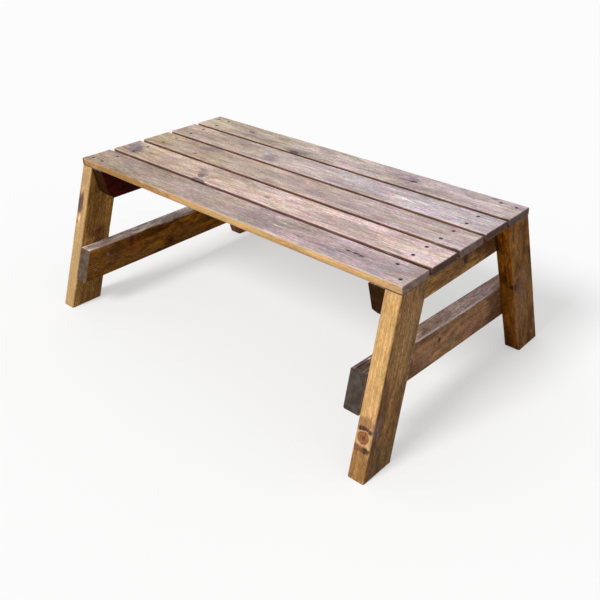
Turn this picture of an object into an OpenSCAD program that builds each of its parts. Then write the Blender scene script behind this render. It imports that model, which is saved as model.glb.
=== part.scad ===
// Low slatted garden table of treated softwood: five top boards screwed down on
// two splayed trestles. The ground is z = 0, the middle of the table is x = y = 0,
// and the boards run along X.

/* [Top] */
// Length of the top boards
top_l = 1200; // [900:10:1500]
// Height of the top above the ground
top_z = 450; // [380:5:560]
// Width of one board
board_w = 101; // [90:1:115]
// Thickness of a board
board_t = 22; // [18:1:28]
// Gap between two boards
board_gap = 12; // [6:1:20]
// Radius of the eased long edges of a board
board_arris = 4; // [1:0.5:6]

/* [Legs] */
// Width of a leg, seen from the end of the table
leg_w = 97; // [85:1:115]
// Thickness of a leg, along the table
leg_t = 47; // [38:1:60]
// Outward lean of the legs, in degrees from upright
leg_splay = 16; // [8:0.5:20]
// Radius of the eased long edges of the legs and rails
frame_arris = 4; // [1:0.5:6]

/* [Top rails] */
// Height of a top rail
top_rail_h = 97; // [85:1:115]
// Thickness of a top rail, along the table
top_rail_t = 47; // [38:1:60]
// Inward slope of the sawn ends of a top rail, in degrees
top_rail_slope = 12; // [0:1:16]
// Size of the clipped bottom corners of a top rail
top_rail_clip = 22; // [5:1:30]

/* [Low rails] */
// Height of a low rail
low_rail_h = 97; // [85:1:115]
// Thickness of a low rail, along the table
low_rail_t = 47; // [38:1:60]
// Height of the left low rail's underside above the ground, half way along it
left_low_rail_z = 93; // [75:1:140]
// Height of the right low rail's underside above the ground, half way along it
right_low_rail_z = 124; // [75:1:140]
// Slope of the left low rail in degrees, its front end the higher one
left_low_rail_slope = 0; // [0:0.5:4]
// Slope of the right low rail in degrees, its front end the higher one
right_low_rail_slope = 2.5; // [0:0.5:4]

/* [Screws] */
// Diameter of the screw shanks
screw_d = 5; // [4:0.5:6]
// Diameter of the countersunk heads
head_d = 9.5; // [8:0.5:11]
// Depth of the heads below the timber's face
head_sink = 1; // [0.5:0.25:2]
// Length of the screws that hold the boards
board_screw_l = 50; // [40:1:60]
// Length of the screws that hold the rails to the legs
joint_screw_l = 80; // [65:1:84]
// Distance between the two screws of a board, across it
board_screw_gap = 54; // [40:1:60]
// Distance of the screws in the leg tops from the table's long edges
leg_screw_inset = 25; // [20:1:35]
// Offset of the joint screws from the middle of a top rail joint, across the leg
top_joint_y = 13; // [8:1:16]
// Offset of the joint screws from the middle of a low rail joint, across the leg
low_joint_y = 25; // [10:1:28]
// Offset of the joint screws above and below the middle of a rail
joint_z = 18; // [12:1:24]

/* [Hidden] */

// Directions: an end of the table and a side of it
left = -1;
right = 1;
front = -1;
back = 1;

board_count = 5;
screw_clearance = 0.15;
screw_tip = 8;
head_land = 0.6;
recess_width = 1.1;
recess_depth = 1.6;
// How far cutting shapes run past what they cut
over = 5;
$fn = 48;

weathered = [0.66, 0.57, 0.53];
stained = [0.62, 0.43, 0.26];
dark_steel = [0.20, 0.18, 0.19];

board_pitch = board_w + board_gap;
top_w = board_count * board_w + (board_count - 1) * board_gap;
// The frame's top, where the boards lie
frame_z = top_z - board_t;
// Centre planes of the legs and rails, measured from the middle of the table
leg_x = top_l / 2 - leg_t / 2;
rail_face_x = top_l / 2 - leg_t;
top_rail_x = rail_face_x - top_rail_t / 2;
low_rail_x = rail_face_x - low_rail_t / 2;
// Width of a leg along a level cut
leg_level_w = leg_w / cos(leg_splay);

function board_y(i) = (i - (board_count - 1) / 2) * board_pitch;
// The outer edge and the centre line of a leg at height z, from the middle of the table
function leg_outer_y(z) = top_w / 2 + (frame_z - z) * tan(leg_splay);
function leg_middle_y(z) = leg_outer_y(z) - leg_level_w / 2;
// The height of a low rail's middle line half way along it, and how it falls towards the back
function low_rail_mid_z(end) = (end == left ? left_low_rail_z : right_low_rail_z) + low_rail_h / 2;
function low_rail_slope(end) = end == left ? left_low_rail_slope : right_low_rail_slope;

// The height at which the middle lines of a low rail and a leg cross
function low_joint_mid_z(end, side) =
    let (mid_z = low_rail_mid_z(end), fall = side * tan(low_rail_slope(end)))
    mid_z - leg_middle_y(mid_z) * fall / (1 - tan(leg_splay) * fall);

// The end of a top rail at height z
function top_rail_end_y(z) = top_w / 2 - (frame_z - z) * tan(top_rail_slope);
// The middle of the stretch where a top rail lies on a leg, at mid height of the rail
top_joint_mid_z = frame_z - top_rail_h / 2;
top_joint_mid_y = (top_rail_end_y(top_joint_mid_z)
    + leg_outer_y(top_joint_mid_z) - leg_level_w) / 2;

function outer_board(i) = i == 0 || i == board_count - 1;
// Sides of a board's centre line that have a screw into the top rail
function rail_screw_sides(end, i) = end == right && outer_board(i) ? [1] : [-1, 1];

// Every screw of one board, as the place of the head's top face
function board_screw_places(i) = [
    for (end = [left, right]) for (side = rail_screw_sides(end, i))
        [end * top_rail_x, board_y(i) + side * board_screw_gap / 2, top_z - head_sink],
    for (end = [left, right]) if (outer_board(i))
        [end * leg_x, sign(board_y(i)) * (top_w / 2 - leg_screw_inset), top_z - head_sink]
];

// The screws that hold a top rail to its two legs
function top_joint_places(end) = [
    for (side = [front, back]) for (up = [-1, 1])
        [end * (rail_face_x - top_rail_t + head_sink),
         side * (top_joint_mid_y + up * top_joint_y),
         top_joint_mid_z + up * joint_z]
];

// The screws that hold a low rail to its two legs
function low_joint_places(end) = [
    for (side = [front, back]) for (up = [-1, 1])
        let (mid_z = low_joint_mid_z(end, side))
        [end * (rail_face_x - low_rail_t + head_sink),
         side * (leg_middle_y(mid_z) - up * low_joint_y),
         mid_z + up * joint_z]
];

// Section of a planed timber with eased edges, centred
module eased_section(size_x, size_y, arris) {
    square([size_x - 2 * arris, size_y], center = true);
    square([size_x, size_y - 2 * arris], center = true);
    for (sx = [-1, 1]) for (sy = [-1, 1])
        translate([sx * (size_x / 2 - arris), sy * (size_y / 2 - arris)]) circle(arris);
}

// Half outline of a screw below its head's top face, grown by extra
module screw_outline(length, extra) {
    head_r = head_d / 2 + extra;
    shank_r = screw_d / 2 + extra;
    neck = head_land + (head_d - screw_d) / 2;
    polygon([
        [0, 0], [head_r, 0], [head_r, -head_land], [shank_r, -neck],
        [shank_r, screw_tip - length], [0, -length - extra]
    ]);
}

// A countersunk screw that points down, with a cross recess in its head
module screw(length) {
    difference() {
        rotate_extrude() screw_outline(length, 0);
        for (turn = [0, 90]) rotate(turn)
            cube([screw_d, recess_width, 2 * recess_depth], center = true);
    }
}

// The room that a screw and its driven-in head take out of the timber
module screw_cut(length) {
    rotate_extrude() screw_outline(length, screw_clearance);
    translate([0, 0, -screw_clearance])
        cylinder(r = head_d / 2 + screw_clearance, h = head_sink + over);
}

module screws_down(places) {
    color(dark_steel) for (place = places) translate(place) screw(board_screw_l);
}

module screws_outward(places, end) {
    color(dark_steel) for (place = places)
        translate(place) rotate([0, -90 * end, 0]) screw(joint_screw_l);
}

module cuts_down(places) {
    for (place = places) translate(place) screw_cut(board_screw_l);
}

module cuts_outward(places, end) {
    for (place = places)
        translate(place) rotate([0, -90 * end, 0]) screw_cut(joint_screw_l);
}

// Screw holes that any of the boards makes in the frame below it
module all_board_cuts() {
    for (i = [0 : board_count - 1]) cuts_down(board_screw_places(i));
}

module top_board(i) {
    color(weathered) difference() {
        translate([-top_l / 2, board_y(i), top_z - board_t / 2])
            rotate([90, 0, 90])
            linear_extrude(top_l) eased_section(board_w, board_t, board_arris);
        cuts_down(board_screw_places(i));
    }
}

// A splayed leg, sawn level at the top and at the foot
module leg(end, side) {
    run = frame_z / cos(leg_splay) + leg_w;
    color(stained) difference() {
        intersection() {
            translate([end * leg_x, side * leg_middle_y(frame_z), frame_z])
                rotate([side * leg_splay, 0, 0])
                translate([0, 0, -run])
                linear_extrude(run + leg_w) eased_section(leg_t, leg_w, frame_arris);
            translate([end * leg_x - leg_t, -leg_outer_y(0) - over, 0])
                cube([2 * leg_t, 2 * (leg_outer_y(0) + over), frame_z]);
        }
        cuts_outward(top_joint_places(end), end);
        cuts_outward(low_joint_places(end), end);
        all_board_cuts();
    }
}

// A bar across the table, centred at [x, 0, z], before its ends are sawn. Its front end is
// the higher one by slope degrees.
module bar_across(x, z, thickness, height, slope = 0) {
    run = leg_outer_y(0) + height;
    translate([x, 0, z]) rotate([90 - slope, 0, 0]) translate([0, 0, -run])
        linear_extrude(2 * run) eased_section(thickness, height, frame_arris);
}

// A slab as wide as the rails, cut to an outline in the plane across the table
module outline_across(x, thickness, points) {
    translate([x - thickness, 0, 0]) rotate([90, 0, 90])
        linear_extrude(2 * thickness) polygon(points);
}

module top_rail(end) {
    clip_z = frame_z - top_rail_h + top_rail_clip;
    top_y = top_rail_end_y(frame_z + over);
    clip_y = top_rail_end_y(clip_z);
    low_z = frame_z - top_rail_h - over;
    low_y = clip_y - (clip_z - low_z);
    color(stained) difference() {
        intersection() {
            bar_across(end * top_rail_x, top_joint_mid_z, top_rail_t, top_rail_h);
            outline_across(end * top_rail_x, top_rail_t, [
                [-top_y, frame_z + over], [-clip_y, clip_z], [-low_y, low_z],
                [low_y, low_z], [clip_y, clip_z], [top_y, frame_z + over]
            ]);
        }
        cuts_outward(top_joint_places(end), end);
        all_board_cuts();
    }
}

// A low rail, its ends sawn flush with the legs' outer edges
module low_rail(end) {
    low_y = leg_outer_y(0);
    high_y = leg_outer_y(frame_z);
    color(stained) difference() {
        intersection() {
            bar_across(end * low_rail_x, low_rail_mid_z(end), low_rail_t, low_rail_h,
                low_rail_slope(end));
            outline_across(end * low_rail_x, low_rail_t, [
                [-low_y, 0], [low_y, 0], [high_y, frame_z], [-high_y, frame_z]
            ]);
        }
        cuts_outward(low_joint_places(end), end);
    }
}

top_board(0);  // top_board_1
top_board(1);  // top_board_2
top_board(2);  // top_board_3
top_board(3);  // top_board_4
top_board(4);  // top_board_5
leg(left, front);  // leg_front_left
leg(left, back);  // leg_back_left
leg(right, front);  // leg_front_right
leg(right, back);  // leg_back_right
top_rail(left);  // top_rail_left
top_rail(right);  // top_rail_right
low_rail(left);  // low_rail_left
low_rail(right);  // low_rail_right
screws_down(board_screw_places(0));  // screws_board_1
screws_down(board_screw_places(1));  // screws_board_2
screws_down(board_screw_places(2));  // screws_board_3
screws_down(board_screw_places(3));  // screws_board_4
screws_down(board_screw_places(4));  // screws_board_5
screws_outward(top_joint_places(left), left);  // screws_top_rail_left
screws_outward(top_joint_places(right), right);  // screws_top_rail_right
screws_outward(low_joint_places(left), left);  // screws_low_rail_left
screws_outward(low_joint_places(right), right);  // screws_low_rail_right
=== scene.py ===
import math
import random
from dataclasses import dataclass, field, replace

import bmesh
import bpy
import numpy as np
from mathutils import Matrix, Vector, noise


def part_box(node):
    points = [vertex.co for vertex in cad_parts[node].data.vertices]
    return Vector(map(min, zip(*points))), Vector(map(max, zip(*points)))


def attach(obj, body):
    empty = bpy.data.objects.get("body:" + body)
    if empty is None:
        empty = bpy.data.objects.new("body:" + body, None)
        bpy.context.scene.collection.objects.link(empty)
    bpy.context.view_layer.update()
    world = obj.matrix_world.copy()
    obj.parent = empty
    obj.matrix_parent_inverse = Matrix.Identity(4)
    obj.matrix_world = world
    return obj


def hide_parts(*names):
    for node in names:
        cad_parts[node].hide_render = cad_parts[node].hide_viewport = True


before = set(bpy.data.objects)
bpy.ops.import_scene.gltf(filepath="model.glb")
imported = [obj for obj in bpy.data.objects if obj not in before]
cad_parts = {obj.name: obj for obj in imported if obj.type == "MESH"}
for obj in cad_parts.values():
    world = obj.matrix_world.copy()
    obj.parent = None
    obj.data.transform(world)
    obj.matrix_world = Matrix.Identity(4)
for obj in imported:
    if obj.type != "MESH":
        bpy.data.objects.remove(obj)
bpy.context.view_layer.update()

MM = 0.001
TO_MM = (1000, 1000, 1000)

# Sizes that the frame's boxes don't give, as the CAD source has them
LEG_WIDTH = 97 * MM
LEG_SPLAY = math.radians(16)
RAIL_END_SLOPE = math.radians(12)
RAIL_CLIP = 22 * MM
LOW_RAIL_WIDTH = 97 * MM
LOW_RAIL_MIDDLE = {"left": 141.5 * MM, "right": 172.5 * MM}
LOW_RAIL_FALL = {"left": 0.0, "right": math.radians(2.5)}
ARRIS = 4 * MM
HEAD_RADIUS = 4.75 * MM
SHANK_RADIUS = 2.5 * MM
HEAD_SINK = 1 * MM
HEAD_EDGE = 0.6 * MM

# Mesh spacing along the grain and across it, and beside screws
STEP_ALONG = 7 * MM
STEP_ACROSS = 3.6 * MM
STEP_NEAR_SCREW = 2.2 * MM
REACH_OF_SCREW = 9 * MM
SHARP_ANGLE = math.radians(38)

# Wear of the timber's surface, all of it inward. Sawn ends are rounded by their ease. Hollows, rubbed
# places and saw marks have a number a metre along the grain and one across it, or across and through.
HOLLOW = 0.35 * MM
HOLLOWS_PER_METRE = (7, 26)
CUP = 0.5 * MM
ARRIS_WEAR = 0.4 * MM
RUBS_PER_METRE = (15, 60)
SAWN_EASE = 0.7 * MM
BOARD_END_EASE = 2.2 * MM
SAW_MARK = 0.25 * MM
SAW_MARKS_PER_METRE = (130, 60)
DENT_DEPTH = 0.8 * MM
DENT_REACH_MM = (9, 18)
DENTS_PER_METRE = 4

# How far from a screw the timber has gone black
IRON_REACH = 7 * MM

# The hole that a screw lies in: its clearance, how far round it the mesh is cut out, and the radius,
# depth and rubbed share of each of its rings, from the timber's face down
CLEARANCE = 0.15 * MM
HOLE_REACH = HEAD_RADIUS + 2.2 * MM
NECK_DEPTH = HEAD_SINK + HEAD_RADIUS - SHANK_RADIUS + HEAD_EDGE
HOLE_RINGS = [
    (HEAD_RADIUS + 1.1 * MM, 0.45 * MM, 0.3),
    (HEAD_RADIUS + 0.4 * MM, 0.75 * MM, 0.1),
    (HEAD_RADIUS + CLEARANCE, HEAD_SINK + 0.4 * MM, 0),
    (HEAD_RADIUS + CLEARANCE, HEAD_SINK + 0.8 * MM, 0),
    (SHANK_RADIUS + CLEARANCE, NECK_DEPTH + 0.2 * MM, 0),
    (SHANK_RADIUS + CLEARANCE, NECK_DEPTH + 5 * MM, 0),
]


# Timbers

@dataclass
class Timber:
    """A sawn timber: its axes in the table, its section, and where its two ends are cut."""
    node: str
    origin: Vector
    along: Vector
    across: Vector
    through: Vector
    width: float
    thick: float
    low_end: object
    high_end: object
    seed: int
    screws: list = field(default_factory=list)
    cupped: bool = False
    sawn_ease: float = SAWN_EASE

    def place(self, u, v, w):
        return self.origin + self.along * u + self.across * v + self.through * w

    def at_share(self, share, v):
        """Place along the grain at a share of the way between the two sawn ends."""
        low, high = self.low_end(v), self.high_end(v)
        return low + share * (high - low)

    def local(self, point):
        offset = point - self.origin
        return Vector((offset.dot(self.along), offset.dot(self.across), offset.dot(self.through)))


X_AXIS, Y_AXIS, Z_AXIS = Vector((1, 0, 0)), Vector((0, 1, 0)), Vector((0, 0, 1))


def middle(node):
    low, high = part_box(node)
    return (low + high) / 2


def size(node):
    low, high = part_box(node)
    return high - low


def screw_heads(node, axis):
    """Middle of each screw head's top face. axis is 0 or 2, the one that the screws lie along."""
    flat = [i for i in range(3) if i != axis]
    groups = []
    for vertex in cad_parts[node].data.vertices:
        point = vertex.co
        for group in groups:
            if math.dist([point[i] for i in flat], [group[0][i] for i in flat]) < 3 * HEAD_RADIUS:
                group.append(point.copy())
                break
        else:
            groups.append([point.copy()])
    heads = []
    for group in groups:
        low = [min(p[i] for p in group) for i in range(3)]
        high = [max(p[i] for p in group) for i in range(3)]
        centre = [(a + b) / 2 for a, b in zip(low, high)]
        towards_low = axis == 0 and centre[0] > 0
        centre[axis] = low[axis] if towards_low else high[axis]
        heads.append(Vector(centre))
    return heads


def board(number):
    node = f"top_board_{number}"
    extent = size(node)
    half = extent.x / 2
    return Timber(node, middle(node), X_AXIS, Y_AXIS, Z_AXIS, extent.y, extent.z,
                  lambda v: -half, lambda v: half, seed=number,
                  screws=screw_heads(f"screws_board_{number}", axis=2), cupped=True,
                  sawn_ease=BOARD_END_EASE)


def leg(name, side, seed):
    """A leg: side is -1 for a front one and 1 for a back one."""
    node = f"leg_{name}"
    low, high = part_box(node)
    lean, rise = math.sin(LEG_SPLAY), math.cos(LEG_SPLAY)
    along = Vector((0, side * lean, -rise))
    across = Vector((0, -side * rise, -lean))
    top_corner = Vector(((low.x + high.x) / 2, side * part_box("top_board_5")[1].y, high.z))
    origin = top_corner + across * (LEG_WIDTH / 2)
    return Timber(node, origin, along, across, X_AXIS, LEG_WIDTH, high.x - low.x,
                  lambda v: (origin.z - v * lean - high.z) / rise,
                  lambda v: (origin.z - v * lean - low.z) / rise, seed)


def top_rail(name, seed):
    node = f"top_rail_{name}"
    low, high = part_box(node)
    centre = (low + high) / 2
    clip_z = low.z + RAIL_CLIP

    def end(v):
        z = centre.z + v
        sloped = high.y - (high.z - max(z, clip_z)) * math.tan(RAIL_END_SLOPE)
        return sloped - max(0, clip_z - z)

    return Timber(node, centre, Y_AXIS, Z_AXIS, X_AXIS, high.z - low.z, high.x - low.x,
                  lambda v: -end(v), end, seed, screws=screw_heads(f"screws_{node}", axis=0))


def low_rail(name, seed):
    """A low rail, which may fall towards the back. Its ends follow the legs' outer edges."""
    node = f"low_rail_{name}"
    low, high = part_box(node)
    height, fall = LOW_RAIL_MIDDLE[name], LOW_RAIL_FALL[name]
    drop, level = math.sin(fall), math.cos(fall)
    lean = math.tan(LEG_SPLAY)
    foot_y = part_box(f"leg_back_{name}")[1].y

    def end(v, side):
        reach = foot_y - lean * (height + v * level) - side * v * drop
        return reach / (side * level - lean * drop)

    return Timber(node, Vector(((low.x + high.x) / 2, 0, height)), Vector((0, level, -drop)),
                  Vector((0, drop, level)), X_AXIS, LOW_RAIL_WIDTH, high.x - low.x,
                  lambda v: end(v, -1), lambda v: end(v, 1), seed,
                  screws=screw_heads(f"screws_{node}", axis=0))


# Mesh of a timber

def graded(start, end, step, crowded=()):
    """Positions from start to end, about step apart, closer within reach of crowded places."""
    fine = np.linspace(start, end, 3000)
    density = np.full(fine.shape, 1 / step)
    for place, reach, small in crowded:
        density[np.abs(fine - place) < reach] = 1 / small
    passed = np.concatenate(([0], np.cumsum((density[1:] + density[:-1]) / 2 * np.diff(fine))))
    count = max(1, round(passed[-1]))
    return np.interp(np.linspace(0, passed[-1], count + 1), passed, fine)


ARRIS_TURNS = [math.radians(a) for a in (15, 30, 45)]
END_TURNS = [math.radians(a) for a in (0, 30, 60, 90)]


def section_lines(half, step, crowded=()):
    """Grid lines across one side of a section, close together where the arris turns."""
    flat = half - ARRIS
    turn = [flat + ARRIS * math.tan(a) for a in ARRIS_TURNS]
    return [-t for t in reversed(turn)] + list(graded(-flat, flat, step, crowded)) + turn


def eased(v, w, half_v, half_w):
    """Where a point of the square section's edge lies on the eased one, and the normal there."""
    inner = Vector((max(ARRIS - half_v, min(half_v - ARRIS, v)),
                    max(ARRIS - half_w, min(half_w - ARRIS, w))))
    normal = (Vector((v, w)) - inner).normalized()
    return inner + normal * ARRIS, normal


def make_dents(timber, length):
    """Knocks along the four long edges: place along the grain, corner, reach and depth."""
    rng = random.Random(timber.seed)
    return [(rng.uniform(0.03, 0.97) * length, rng.choice((-1, 1)), rng.choice((-1, 1)),
             rng.uniform(*DENT_REACH_MM) * MM, rng.uniform(0.3, 1) * DENT_DEPTH)
            for _ in range(int(length * DENTS_PER_METRE))]


def swells(timber, u, v, w, per_metre):
    """Noise from -1 to 1 with about that many swells a metre along the grain and across it."""
    along, across = per_metre
    return noise.noise(Vector((u * along + timber.seed * 3.7, v * across, w * across)))


def wear_depth(timber, dents, start, u, v, w, normal):
    """How far the surface has gone in at a point, from planing, use and knocks."""
    depth = HOLLOW * (swells(timber, u, v, w, HOLLOWS_PER_METRE) + 1) / 2
    corner = 2 * abs(normal[0] * normal[1])
    if corner > 0.02:
        depth += corner * ARRIS_WEAR * max(0, swells(timber, u, v, w, RUBS_PER_METRE) + 0.5)
        for place, side_v, side_w, reach, dent in dents:
            away = abs(u - start - place)
            if away < reach and v * side_v > 0 and w * side_w > 0:
                depth += corner * dent * (1 - (away / reach) ** 2) ** 2
    if timber.cupped and normal[1] > 0.9:
        depth += CUP * (1 - (2 * v / timber.width) ** 2)
    return depth


def join_rings(bm, first, second):
    """A band of faces between two closed rings with as many points."""
    for i in range(len(first)):
        j = (i + 1) % len(first)
        bm.faces.new((first[i], first[j], second[j], second[i]))


class TimberMesh:
    """Builds the closed mesh of one timber, with its wear and its countersunk screw holes."""

    def __init__(self, timber):
        self.timber = timber
        self.bm = bmesh.new()
        self.grain = self.bm.verts.layers.float_vector.new("grain")
        self.wear = self.bm.verts.layers.float.new("wear")
        self.iron = self.bm.verts.layers.float.new("iron")
        self.heads = [timber.local(head) for head in timber.screws]

    def vertex(self, u, v, w, worn=0.0, unworn=None):
        """A point of the mesh. unworn is its (v, w) before the surface wore."""
        vert = self.bm.verts.new(self.timber.place(u, v, w))
        vert[self.grain] = Vector((u, *(unworn or (v, w))))
        vert[self.wear] = worn
        beside = [math.dist((u, v), head[:2]) for head in self.heads if w * head.z > 0]
        vert[self.iron] = math.exp(-(min(beside) / IRON_REACH) ** 2) if beside else 0
        return vert

    def build(self):
        """Closely spaced rings along the grain, joined, capped and pierced by the screws' holes."""
        t = self.timber
        lines_v = section_lines(t.width / 2, STEP_ACROSS, self.near_screws(1))
        lines_w = section_lines(t.thick / 2, STEP_ACROSS)
        start, end = t.low_end(0), t.high_end(0)
        lines_u = graded(start, end, STEP_ALONG, self.near_screws(0))
        shares = (lines_u - start) / (end - start)
        edge = self.edge_points(lines_v, lines_w)
        rings = self.rings(shares, edge, make_dents(t, end - start), start)
        for ring, following in zip(rings, rings[1:]):
            join_rings(self.bm, ring, following)
        for ring, end_cut, turn in ((rings[0], t.low_end, -1), (rings[-1], t.high_end, 1)):
            self.cap(ring, edge, lines_v, lines_w, end_cut, turn)
        for place in self.heads:
            self.screw_hole(place)
        bmesh.ops.recalc_face_normals(self.bm, faces=self.bm.faces[:])
        return self.bm

    def near_screws(self, axis):
        return [(head[axis], REACH_OF_SCREW, STEP_NEAR_SCREW) for head in self.heads]

    def edge_points(self, lines_v, lines_w):
        """The section's edge as (column, row, v, w), once round."""
        last_v, last_w = len(lines_v) - 1, len(lines_w) - 1
        walk = [(j, 0) for j in range(last_v)] + [(last_v, k) for k in range(last_w)]
        walk += [(j, last_w) for j in range(last_v, 0, -1)] + [(0, k) for k in range(last_w, 0, -1)]
        return [(j, k, lines_v[j], lines_w[k]) for j, k in walk]

    def rings(self, shares, edge, dents, start):
        """The section at each share of the length, worn, and rounded towards the sawn ends."""
        t = self.timber
        half_v, half_w = t.width / 2, t.thick / 2
        ease_share = t.sawn_ease / (t.high_end(0) - start)
        rounding = [(ease_share * (1 - math.cos(turn)), 1 - math.sin(turn), turn / END_TURNS[-1])
                    for turn in END_TURNS]
        steps = rounding + [(share, 0, 0) for share in shares[1:-1]]
        steps += [(1 - share, inset, near_end) for share, inset, near_end in reversed(rounding)]
        rings = []
        for share, inset, near_end in steps:
            ring = []
            for _, _, v, w in edge:
                (ev, ew), normal = eased(v, w, half_v, half_w)
                u = t.at_share(share, ev)
                sink = wear_depth(t, dents, start, u, ev, ew, normal) + inset * t.sawn_ease
                sunk_v, sunk_w = ev - normal[0] * sink, ew - normal[1] * sink
                corner = min(1, 3 * abs(normal[0] * normal[1]))
                worn = max(corner, 0.8 * inset, 0.5 * near_end)
                ring.append(self.vertex(t.at_share(share, sunk_v), sunk_v, sunk_w, worn, (ev, ew)))
            rings.append(ring)
        return rings

    def cap(self, ring, edge, lines_v, lines_w, end_cut, turn):
        """Fills a sawn end with a grid that has the marks of the saw in it."""
        t = self.timber
        across, through = SAW_MARKS_PER_METRE
        grid = {(j, k): vert for (j, k, _, _), vert in zip(edge, ring)}
        for j in range(1, len(lines_v) - 1):
            for k in range(1, len(lines_w) - 1):
                v = lines_v[j] * (1 - t.sawn_ease / (t.width / 2))
                w = lines_w[k] * (1 - t.sawn_ease / (t.thick / 2))
                rough = SAW_MARK * (noise.noise(Vector((v * across, w * through, t.seed))) + 1)
                grid[j, k] = self.vertex(end_cut(v) - turn * rough, v, w)
        for j in range(len(lines_v) - 1):
            for k in range(len(lines_w) - 1):
                corners = (grid[j, k], grid[j + 1, k], grid[j + 1, k + 1], grid[j, k + 1])
                self.bm.faces.new(corners)

    def screw_hole(self, place):
        """Cuts a countersunk hole into the wide face that the screw head lies in."""
        facing = 1 if place.z > 0 else -1
        inside = [face for face in self.bm.faces if self.within(face, place, facing)]
        border = {}
        for face in inside:
            for edge in face.edges:
                border[edge] = border.get(edge, 0) + 1
        rim = {vert for edge, uses in border.items() if uses == 1 for vert in edge.verts}
        bmesh.ops.delete(self.bm, geom=inside, context="FACES")

        def bearing(vert):
            return math.atan2(vert[self.grain].y - place.y, vert[self.grain].x - place.x)

        outer = sorted(rim, key=bearing)
        for radius, depth, worn in HOLE_RINGS:
            height = facing * (self.timber.thick / 2 - depth)
            inner = [self.vertex(place.x + radius * math.cos(bearing(vert)),
                                 place.y + radius * math.sin(bearing(vert)), height, worn)
                     for vert in outer]
            join_rings(self.bm, outer, inner)
            outer = inner
        self.bm.faces.new(outer)

    def within(self, face, place, facing):
        """True for a face of the wide side round a screw head."""
        if any(vert[self.grain].z * facing < self.timber.thick / 2 - 0.01 * MM
               for vert in face.verts):
            return False
        centre = sum((vert[self.grain] for vert in face.verts), Vector()) / len(face.verts)
        return max(abs(centre.x - place.x), abs(centre.y - place.y)) < HOLE_REACH


def add_object(name, data):
    """An object of the scene, from its mesh, camera or lamp."""
    made = bpy.data.objects.new(name, data)
    bpy.context.scene.collection.objects.link(made)
    return made


def add_shape(bm, name, material):
    """Turns a bmesh into an object of one material."""
    mesh = bpy.data.meshes.new(name)
    bm.to_mesh(mesh)
    bm.free()
    mesh.materials.append(material)
    return add_object(name, mesh)


def make_piece(bm, name, material, node):
    """Turns a bmesh into a piece of the table that stands for a CAD node."""
    piece = add_shape(bm, name, material)
    mesh = piece.data
    mesh.polygons.foreach_set("use_smooth", [True] * len(mesh.polygons))
    mesh.set_sharp_from_angle(angle=SHARP_ANGLE)
    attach(piece, "root")
    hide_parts(node)


# Node trees

def add_node(tree, kind, inputs=None, **settings):
    """Adds a shader node. An input is a socket to link or a value to set."""
    made = tree.nodes.new("ShaderNode" + kind)
    for name, value in settings.items():
        setattr(made, name, value)
    for key, value in (inputs or {}).items():
        if isinstance(value, bpy.types.NodeSocket):
            tree.links.new(value, made.inputs[key])
        else:
            made.inputs[key].default_value = value
    return made


def joined(kind, inputs, **settings):
    """Adds a node to the tree that its linked inputs are in."""
    linked = [value for value in inputs.values() if isinstance(value, bpy.types.NodeSocket)]
    return add_node(linked[0].id_data, kind, inputs, **settings)


def calc(operation, a, b=0.0, c=0.0, clamp=False):
    return joined("Math", {0: a, 1: b, 2: c}, operation=operation, use_clamp=clamp).outputs[0]


def times(a, b):
    """The product of two sockets, of a socket and a number, or of two numbers."""
    linked = isinstance(a, bpy.types.NodeSocket) or isinstance(b, bpy.types.NodeSocket)
    return calc("MULTIPLY", a, b) if linked else a * b


def vector_calc(operation, a, b=(0, 0, 0)):
    made = joined("VectorMath", {0: a, 1: b}, operation=operation)
    return made.outputs["Value" if operation in ("LENGTH", "DOT_PRODUCT") else "Vector"]


def ease(value, low, high, to_low=0.0, to_high=1.0):
    """A smooth step of value from low to high."""
    inputs = {"Value": value, "From Min": low, "From Max": high, "To Min": to_low, "To Max": to_high}
    return joined("MapRange", inputs, interpolation_type="SMOOTHSTEP").outputs[0]


def linear(channel):
    """A screen channel, 0 to 255, as the linear one that shaders take."""
    share = channel / 255
    return share / 12.92 if share <= 0.04045 else ((share + 0.055) / 1.055) ** 2.4


def shader_colour(colour):
    """A screen colour, of three channels, as shaders take it. A tint or a socket stays."""
    if isinstance(colour, tuple) and len(colour) == 3:
        return (*map(linear, colour), 1.0)
    return colour


def mix_colour(share, first, second, blend="MIX"):
    inputs = {0: share, 6: shader_colour(first), 7: shader_colour(second)}
    return joined("Mix", inputs, data_type="RGBA", blend_type=blend).outputs[2]


WOOD_RELIEF = 0.35 * MM
STEEL_RELIEF = 0.1 * MM
SEED_SPREAD = (13.1, 7.7, 3.3)


def noise_at(point, size_mm, seed, detail, roughness=0.5):
    """Noise from 0 to 1 whose blotches have about the given size along u, v and w."""
    stretched = vector_calc("MULTIPLY", point, tuple(1 / length for length in size_mm))
    moved = vector_calc("ADD", stretched, tuple(seed * spread for spread in SEED_SPREAD))
    inputs = {"Vector": moved, "Scale": 1.0, "Detail": detail, "Roughness": roughness}
    return joined("TexNoise", inputs)


FLOAT, VECTOR = "NodeSocketFloat", "NodeSocketVector"


def new_group(name, inputs, build):
    """A node group. Its build function works out its outputs, by name, from its inputs."""
    group = bpy.data.node_groups.new(name, "ShaderNodeTree")
    for socket, kind in inputs.items():
        group.interface.new_socket(socket, in_out="INPUT", socket_type=kind)
    results = build(group.nodes.new("NodeGroupInput").outputs)
    for socket in results:
        group.interface.new_socket(socket, in_out="OUTPUT", socket_type=FLOAT)
    out = group.nodes.new("NodeGroupOutput").inputs
    for socket, value in results.items():
        group.links.new(value, out[socket])
    return group


def use_group(group, inputs):
    return joined("Group", inputs, node_tree=group).outputs


def bump(height, strength, distance):
    return joined("Bump", {"Height": height, "Strength": strength, "Distance": distance}).outputs[0]


def same_thrice(value):
    return joined("CombineXYZ", {i: value for i in range(3)}).outputs[0]


# Millimetres from one growth ring to the next, and how uneven that is
RING_SPACING = 3.4
RING_UNEVENNESS = 1.6

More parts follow.
